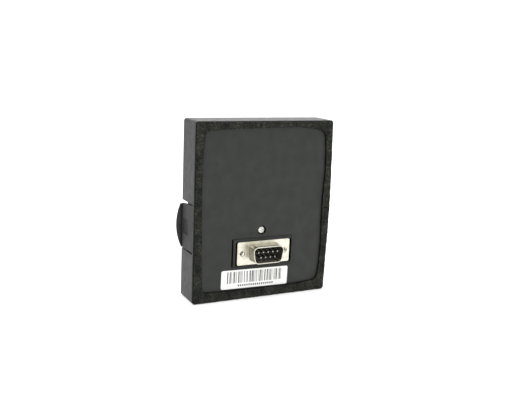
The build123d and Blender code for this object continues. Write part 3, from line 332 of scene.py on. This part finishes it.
def window_material(name):
    """Infrared-pass acrylic: nearly black with a tinge of red, polished, a little smeared."""
    mat, tree, shader, place = new_material(name, 0.06)
    shader.inputs["Specular IOR Level"].default_value = 0.3
    depth = noise_fac(tree, place, 14.0, 2.0)
    tree.links.new(ramp(tree, depth, [(0.3, (0.006, 0.003, 0.005)), (0.7, (0.014, 0.004, 0.008))]),
                   shader.inputs["Base Color"])
    smears = noise_fac(tree, place, 3.0, 5.0, (1, 1, 0.4))
    tree.links.new(spread(tree, smears, 0.04, 0.13), shader.inputs["Roughness"])
    return mat


def board_material(name):
    """Green solder mask with the faint relief of tracks under it."""
    mat, tree, shader, place = new_material(name, 0.35)
    grid = tree.nodes.new("ShaderNodeTexBrick")
    grid.inputs["Scale"].default_value = 160.0
    grid.inputs["Mortar Size"].default_value = 0.03
    grid.inputs["Color1"].default_value = (0.010, 0.085, 0.045, 1)
    grid.inputs["Color2"].default_value = (0.012, 0.10, 0.055, 1)
    grid.inputs["Mortar"].default_value = (0.03, 0.17, 0.09, 1)
    tree.links.new(place, grid.inputs["Vector"])
    tree.links.new(grid.outputs["Color"], shader.inputs["Base Color"])
    tree.links.new(spread(tree, noise_fac(tree, place, 2.0), 0.28, 0.42), shader.inputs["Roughness"])
    bump(tree, shader, grid.outputs["Fac"], 0.03)
    return mat


def wound_copper(name):
    """Enamelled wire: fine turns as bands round the scan axis."""
    mat, tree, shader, place = new_material(name, 0.3, 1.0)
    bands = tree.nodes.new("ShaderNodeTexWave")
    bands.wave_type = "RINGS"
    bands.rings_direction = "Z"
    bands.inputs["Scale"].default_value = 1400.0
    shift = tree.nodes.new("ShaderNodeMapping")
    shift.inputs["Location"].default_value = (0, -SCAN_AXIS_Y, 0)
    tree.links.new(place, shift.inputs["Vector"])
    tree.links.new(shift.outputs["Vector"], bands.inputs["Vector"])
    tree.links.new(ramp(tree, bands.outputs["Fac"],
                        [(0.2, (0.28, 0.10, 0.04)), (0.8, (0.72, 0.33, 0.16))]),
                   shader.inputs["Base Color"])
    bump(tree, shader, bands.outputs["Fac"], 0.06)
    return mat


def ribbon_film(name):
    """Amber film over parallel tracks."""
    mat, tree, shader, place = new_material(name, 0.25)
    tracks = tree.nodes.new("ShaderNodeTexWave")
    tracks.bands_direction = "X"
    tracks.inputs["Scale"].default_value = 320.0
    tree.links.new(place, tracks.inputs["Vector"])
    tree.links.new(ramp(tree, tracks.outputs["Fac"],
                        [(0.4, (0.36, 0.17, 0.03)), (0.6, (0.60, 0.34, 0.09))]),
                   shader.inputs["Base Color"])
    bump(tree, shader, tracks.outputs["Fac"], 0.02)
    return mat


def mirror_material(name):
    """Front-silvered glass with a trace of haze."""
    mat, tree, shader, place = new_material(name, 0.02, 1.0)
    haze = noise_fac(tree, place, 3.0, 3.0)
    tree.links.new(ramp(tree, haze, [(0.3, (0.86, 0.87, 0.88)), (0.7, (0.93, 0.93, 0.93))]),
                   shader.inputs["Base Color"])
    tree.links.new(spread(tree, haze, 0.01, 0.04), shader.inputs["Roughness"])
    return mat


CASE_GREY = (0.0235, 0.0255, 0.0233)
COVER_GREY = (0.0165, 0.0172, 0.0168)
LATCH_GREY = (0.046, 0.0475, 0.046)

finishes = {
    "case_plastic": moulded_plastic("case plastic", CASE_GREY, 0.43, dust_and_side_shade=True, gloss=0.29),
    "cover_plastic": moulded_plastic("cover plastic", COVER_GREY, 0.45),
    "latch_plastic": latch_material("latch plastic"),
    "connector_plastic": moulded_plastic("connector plastic", (0.012, 0.012, 0.013), 0.4, 0.2, 0.006),
    "chip_plastic": moulded_plastic("chip plastic", (0.015, 0.015, 0.017), 0.5, 0.15, 0.006),
    "socket_plastic": moulded_plastic("socket plastic", (0.62, 0.58, 0.48), 0.45, 0.2, 0.005),
    "hub_plastic": moulded_plastic("hub plastic", (0.02, 0.02, 0.022), 0.5, 0.25, 0.01),
    "seal_rubber": moulded_plastic("seal rubber", (0.012, 0.012, 0.012), 0.7, 0.4, 0.015),
    "ferrite": moulded_plastic("ferrite", (0.03, 0.03, 0.032), 0.6, 0.3, 0.02),
    "window_plastic": window_material("window plastic"),
    "label_film": label_material("label film"),
    "foam": foam_material("foam"),
    "screw_steel": plain_metal("screw steel", (0.78, 0.77, 0.74), 0.28, (1, 1, 1), 0.3, 0.003),
    "connector_metal": connector_plate("connector plate"),
    "contact_metal": contact_material("contact metal"),
    "capacitor_metal": plain_metal("capacitor can", (0.74, 0.74, 0.76), 0.35),
    "chassis_alloy": plain_metal("cast alloy", (0.60, 0.61, 0.63), 0.5, (1, 1, 1), 0.4, 0.02),
    "black_alloy": plain_metal("black alloy", (0.06, 0.06, 0.065), 0.45, (1, 1, 3), 0.3, 0.003),
    "turned_brass": plain_metal("turned brass", (0.78, 0.58, 0.27), 0.25, (0.2, 0.2, 3), 0.3, 0.003),
    "bronze": plain_metal("sintered bronze", (0.50, 0.34, 0.19), 0.5, (1, 1, 1), 0.2, 0.01),
    "core_steel": plain_metal("core laminations", (0.40, 0.40, 0.42), 0.4, (0.05, 0.05, 1), 0.35, 0.04),
    "rotor_steel": plain_metal("rotor steel", (0.56, 0.57, 0.59), 0.3, (0.2, 0.2, 3), 0.3, 0.003),
    "spring_steel": plain_metal("spring steel", (0.62, 0.62, 0.63), 0.25, (1, 1, 1), 0.2, 0.002),
    "circuit_board": board_material("circuit board"),
    "copper": wound_copper("wound copper"),
    "ribbon_film": ribbon_film("ribbon film"),
    "clear_plastic": clear_glass("clear plastic", (0.86, 0.92, 0.87)),
    "optic_glass": clear_glass("optic glass", (0.90, 0.95, 0.97)),
    "filter_glass": clear_glass("filter glass", (0.30, 0.02, 0.04)),
    "mirror_coat": mirror_material("mirror coat"),
}

# nodes whose finish isn't that of their material slot
own_finishes = {
    "connector_nuts": plain_metal("nut plate", (0.74, 0.72, 0.63), 0.26, (0.3, 1, 0.3), 0.3, 0.002),
    "latch_pin_left": finishes["black_alloy"],
    "latch_pin_right": finishes["black_alloy"],
}

for entry in frame["record"]["subparts"]:
    for material_slot in nodes[entry["node"]].material_slots:
        material_slot.material = own_finishes.get(entry["node"], finishes[entry["material_slot"]])


# ---------------------------------------------------------------- meshes


def mesh_object(name, points, faces, finish, smooth=False):
    """A mesh piece, in row-frame metres, that rides on the module."""
    mesh = bpy.data.meshes.new(name)
    mesh.from_pydata(points, [], faces)
    mesh.update()
    mesh.materials.append(finish)
    for polygon in mesh.polygons:
        polygon.use_smooth = smooth
    piece = bpy.data.objects.new(name, mesh)
    bpy.context.scene.collection.objects.link(piece)
    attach(piece, "module")
    return piece


def rounded_loop(left, right, bottom, top, radii, side_steps, corner_steps):
    """Points round a rounded rectangle: right side, top, left side, bottom.

    radii are for the lower right, upper right, upper left and lower left corners. Two loops
    with the same steps match point for point."""
    corners = [(right, bottom, -90), (right, top, 0), (left, top, 90), (left, bottom, 180)]
    inward = [(-1, 1), (-1, -1), (1, -1), (1, 1)]
    arcs = []
    for (x, z, start), (sx, sz), radius in zip(corners, inward, radii):
        centre = (x + sx * radius, z + sz * radius)
        angles = [math.radians(start + 90 * i / corner_steps) for i in range(corner_steps + 1)]
        arcs.append([(centre[0] + radius * math.cos(a), centre[1] + radius * math.sin(a)) for a in angles])
    loop = []
    for i, arc in enumerate(arcs):
        loop += arc[:-1]
        begin, end = arc[-1], arcs[(i + 1) % 4][0]
        steps = side_steps[i % 2]
        for j in range(steps):
            t = j / steps
            loop.append((begin[0] + (end[0] - begin[0]) * t, begin[1] + (end[1] - begin[1]) * t))
    return loop


def along(table, place):
    """Value of a table of (place, value) pairs, eased between its entries."""
    if place <= table[0][0]:
        return table[0][1]
    for (p0, v0), (p1, v1) in zip(table, table[1:]):
        if place <= p1:
            t = (place - p0) / (p1 - p0)
            t = t * t * (3 - 2 * t)
            return v0 + (v1 - v0) * t
    return table[-1][1]


# The foam frame in millimetres: left, right, bottom and top, then the four corner radii
FOAM_OUTER = (-39.45, 39.4, -46.9, 46.95)
FOAM_OUTER_R = (1.3, 1.3, 0.9, 1.0)
FOAM_INNER = (-35.3, 35.05, -41.9, 43.4)
FOAM_INNER_R = (4.5, 5.2, 2.6, 3.0)
FOAM_LIMITS = (-39.6, 39.7, -47.1, 47.1)

# How far the hand-cut foam strays from that, as (place along the side, millimetres)
INNER_LEFT = [(-42, 0.7), (-30, 0.3), (-15, 0.0), (0, -0.3), (15, -0.55), (30, -0.3), (38, 0.4),
              (43, 0.6)]
INNER_RIGHT = [(-38, -0.7), (-30, 0.0), (-20, 0.3), (-8, -0.1), (0, -0.2), (10, 0.0), (20, 0.5),
               (30, 0.3), (38, -0.3)]
INNER_TOP = [(-34, -0.9), (-22, -0.2), (-12, 0.1), (0, 0.5), (18, 0.5), (25, -0.2), (32, -1.0)]
INNER_BOTTOM = [(-32, 0.4), (-20, 0.0), (0, -0.1), (20, 0.1), (31, 0.7)]
OUTER_RIGHT = [(-47, -0.9), (-30, -0.5), (-12, 0.0), (0, 0.15), (12, 0.0), (26, -0.3), (36, -0.6),
               (47, -1.0)]


def foam_seal():
    """Hand-cut foam frame round the rear face, with open cells and slightly ragged edges."""
    side_steps, corner_steps, across, wall_steps = (230, 200), 9, 14, 4
    thick = 1.3
    cell_size, pit_reach, pit_depth = 0.95, 0.42, 0.5
    ragged_share, rounded_share, rounding_depth = 0.15, 0.09, 0.25
    slow_rate, slow_size, slow_shift = 0.35, 0.14, Vector((7, 0, 0))
    quick_rate, quick_size, nick_size = 1.4, 0.1, 0.2
    lump_rate, lump_size, lump_shift = 0.7, 0.12, Vector((0, 0, 31))
    left, right, bottom, top = FOAM_LIMITS
    outer = rounded_loop(*FOAM_OUTER, FOAM_OUTER_R, side_steps, corner_steps)
    outer = [(x + (along(OUTER_RIGHT, z) if x > 0 else 0), z) for x, z in outer]
    inner = rounded_loop(*FOAM_INNER, FOAM_INNER_R, side_steps, corner_steps)
    inner = [(x + along(INNER_LEFT if x < 0 else INNER_RIGHT, z),
              z + along(INNER_TOP if z > 0 else INNER_BOTTOM, x)) for x, z in inner]
    # the section runs up the outer wall, across the face and down the inner wall
    section = [(0.0, i / wall_steps) for i in range(wall_steps)]
    section += [(j / across, 1.0) for j in range(across + 1)]
    section += [(1.0, 1 - (i + 1) / wall_steps) for i in range(wall_steps)]
    points = []
    for (ox, oz), (ix, iz) in zip(outer, inner):
        direction = Vector((ix - ox, 0, iz - oz)).normalized()
        for t, height in section:
            spot = Vector((ox + (ix - ox) * t, -height * thick, oz + (iz - oz) * t))
            wave = noise.noise(spot * slow_rate + slow_shift) * slow_size
            wave += noise.noise(spot * quick_rate) * quick_size
            cell = noise.voronoi(spot / cell_size)[0][0]
            edge = min(t, 1 - t)
            if edge < ragged_share:
                spot += direction * (wave + nick_size * (cell - 0.5)) * (1 - edge / ragged_share)
            rounding = rounding_depth * max(0.0, 1 - edge / rounded_share) ** 2
            pit = pit_depth * max(0.0, pit_reach - cell)
            lump = lump_size * noise.noise(spot * lump_rate + lump_shift)
            spot.y += (rounding + pit + lump) * height
            spot.y = min(0.0, max(-thick, spot.y))
            spot.x = min(right, max(left, spot.x))
            spot.z = min(top, max(bottom, spot.z))
            points.append(spot * MM)
    count, ring = len(section), len(outer)
    faces = []
    for i in range(ring):
        after = (i + 1) % ring
        for j in range(count):
            up = (j + 1) % count
            faces.append((i * count + j, i * count + up, after * count + up, after * count + j))
    piece = mesh_object("foam_seal", points, faces, finishes["foam"], smooth=True)
    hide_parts("foam_gasket")


def printed_marks():
    """Generic printing on the label: a run of bars and, below it, even dashes instead of words."""
    bars_half, bars_end, bars_z0, bars_z1 = 16.2, 15.6, -2.1, 4.2
    bar_widths, bar_gaps = (0.2, 0.2, 0.42, 0.62), (0.26, 0.32, 0.5, 0.8)
    dashes, dashes_x0, dash_pitch, dash_w, dash_z0, dash_z1 = 17, -9.8, 1.25, 0.75, -4.0, -3.0
    label_turn_deg, ink_sunk, ink_proud = 1.0, 0.01, 0.015
    low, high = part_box("rear_label")
    centre = (low + high) / 2
    turn = Matrix.Rotation(math.radians(label_turn_deg), 3, "Y")
    draw = random.Random(11)
    points, faces = [], []

    def mark(x0, x1, z0, z1):
        """One bar or dash as a thin block on the label's face."""
        base = len(points)
        for y in (low.y / MM + ink_sunk, low.y / MM - ink_proud):
            for x, z in ((x0, z0), (x1, z0), (x1, z1), (x0, z1)):
                local = turn @ Vector((x, 0, z))
                points.append(Vector((centre.x + local.x * MM, y * MM, centre.z + local.z * MM)))
        quads = ((3, 2, 1, 0), (4, 5, 6, 7), (0, 1, 5, 4), (1, 2, 6, 5), (2, 3, 7, 6), (3, 0, 4, 7))
        faces.extend(tuple(base + i for i in quad) for quad in quads)

    x = -bars_half
    while x < bars_end:
        width = draw.choice(bar_widths)
        mark(x, x + width, bars_z0, bars_z1)
        x += width + draw.choice(bar_gaps)
    for i in range(dashes):
        x = dashes_x0 + dash_pitch * i
        mark(x, x + dash_w, dash_z0, dash_z1)
    mesh_object("label_print", points, faces, ink_material("label ink"))


def latch_coil(word):
    """Latch spring, drawn as a fixed coil from its seat towards its cup; the real one shortens as its lever
    is pressed.
    """
    low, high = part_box("latch_spring_" + word)
    centre = (low + high) / 2
    side = 1 if centre.x > 0 else -1
    wire_r = 0.2 * MM
    radius = (high.z - low.z) / 2 - wire_r
    length = high.x - low.x
    seat_x = min(abs(low.x), abs(high.x))
    turns, steps, sides = 5, 32, 10
    rise = (length - 2 * wire_r) / turns
    points = []
    for i in range(turns * steps + 1):
        angle = 2 * math.pi * i / steps
        away = seat_x + wire_r + rise * i / steps
        outward = Vector((0, math.cos(angle), math.sin(angle)))
        middle = Vector((side * away, centre.y, centre.z)) + radius * outward
        onward = 2 * math.pi * radius * Vector((0, -math.sin(angle), math.cos(angle)))
        run = Vector((side * rise, 0, 0)) + onward
        across = run.normalized().cross(outward)
        for j in range(sides):
            turn = 2 * math.pi * j / sides
            points.append(middle + wire_r * (math.cos(turn) * outward + math.sin(turn) * across))
    faces = []
    for i in range(turns * steps):
        for j in range(sides):
            after = (j + 1) % sides
            faces.append((i * sides + j, i * sides + after, (i + 1) * sides + after, (i + 1) * sides + j))
    last = turns * steps * sides
    faces.append(tuple(range(sides - 1, -1, -1)))
    faces.append(tuple(range(last, last + sides)))
    if side < 0:
        faces = [face[::-1] for face in faces]
    piece = mesh_object("latch_coil_" + word, points, faces, finishes["spring_steel"],
                        smooth=True)
    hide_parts("latch_spring_" + word)
    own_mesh(piece)


foam_seal()
printed_marks()
latch_coil("left")
latch_coil("right")

# ---------------------------------------------------------------- studio


def studio_floor():
    """Pale floor that sweeps up into a backdrop."""
    near_y, sweep_y, half_width, height = -2.2, 1.4, 3.5, 3.2
    radius, steps = 0.8, 24
    floor_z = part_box("rear_case")[0].z
    profile = [(near_y, 0.0), (sweep_y, 0.0)]
    for i in range(1, steps + 1):
        angle = math.radians(90 * i / steps)
        profile.append((sweep_y + radius * math.sin(angle), radius - radius * math.cos(angle)))
    profile.append((sweep_y + radius, height))
    points = [Vector((x, y, floor_z + z)) for x in (-half_width, half_width) for y, z in profile]
    n = len(profile)
    faces = [(i, n + i, n + i + 1, i + 1) for i in range(n - 1)]
    mesh = bpy.data.meshes.new("studio_floor")
    mesh.from_pydata(points, [], faces)
    for polygon in mesh.polygons:
        polygon.use_smooth = True
    mat, tree, shader, place = new_material("studio floor", 0.9)
    shader.inputs["Specular IOR Level"].default_value = 0.0
    tone = noise_fac(tree, place, 300.0, 2.0)
    tree.links.new(ramp(tree, tone, [(0.3, (0.60, 0.60, 0.60)), (0.7, (0.62, 0.62, 0.62))]),
                   shader.inputs["Base Color"])
    shader.inputs["Emission Color"].default_value = (1, 1, 1, 1)
    shader.inputs["Emission Strength"].default_value = 0.5
    mesh.materials.append(mat)
    floor = bpy.data.objects.new("studio_floor", mesh)
    bpy.context.scene.collection.objects.link(floor)


def softbox(name, place, target, size, power):
    """Square area light that faces a point."""
    light = bpy.data.lights.new(name, "AREA")
    light.shape = "SQUARE"
    light.size = size
    light.energy = power
    lamp = bpy.data.objects.new(name, light)
    lamp.location = place
    lamp.rotation_euler = (Vector(target) - Vector(place)).to_track_quat("-Z", "Y").to_euler()
    bpy.context.scene.collection.objects.link(lamp)


def camera():
    """Camera at the viewing angle: in front of the rear face, to its left and a little above."""
    place = Vector((-165.64, -319.80, 81.45)) * MM
    yaw, pitch, roll = math.radians(26.714), math.radians(-12.498), math.radians(2.423)
    ahead = Vector((math.sin(yaw), math.cos(yaw), 0))
    forward = ahead * math.cos(pitch) + Vector((0, 0, math.sin(pitch)))
    level_right = Vector((math.cos(yaw), -math.sin(yaw), 0))
    level_up = level_right.cross(forward)
    right = math.cos(roll) * level_right + math.sin(roll) * level_up
    up = -math.sin(roll) * level_right + math.cos(roll) * level_up
    data = bpy.data.cameras.new("camera")
    data.sensor_width = 36.0
    data.lens = 49.35
    data.clip_start = 0.01
    view = bpy.data.objects.new("camera", data)
    matrix = Matrix((right, up, -forward)).transposed().to_4x4()
    matrix.translation = place
    view.matrix_world = matrix
    bpy.context.scene.collection.objects.link(view)
    bpy.context.scene.camera = view


def studio_world():
    """Even white surroundings."""
    world = bpy.data.worlds.new("studio")
    world.use_nodes = True
    sky = world.node_tree.nodes["Background"]
    sky.inputs["Color"].default_value = (1, 1, 1, 1)
    sky.inputs["Strength"].default_value = 0.95
    bpy.context.scene.world = world
    bpy.context.scene.view_settings.view_transform = "Standard"


studio_floor()
studio_world()
softbox("top_light", place=(-0.1, 0.1, 1.2), target=(0, 0, 0), size=1.2, power=11.5)
softbox("left_light", place=(-1.1, -0.8, 0.45), target=(0, 0, 0), size=0.9, power=3.0)
softbox("back_light", place=(0.55, 1.05, 0.8), target=(0, 0, 0), size=0.9, power=3.0)
camera()
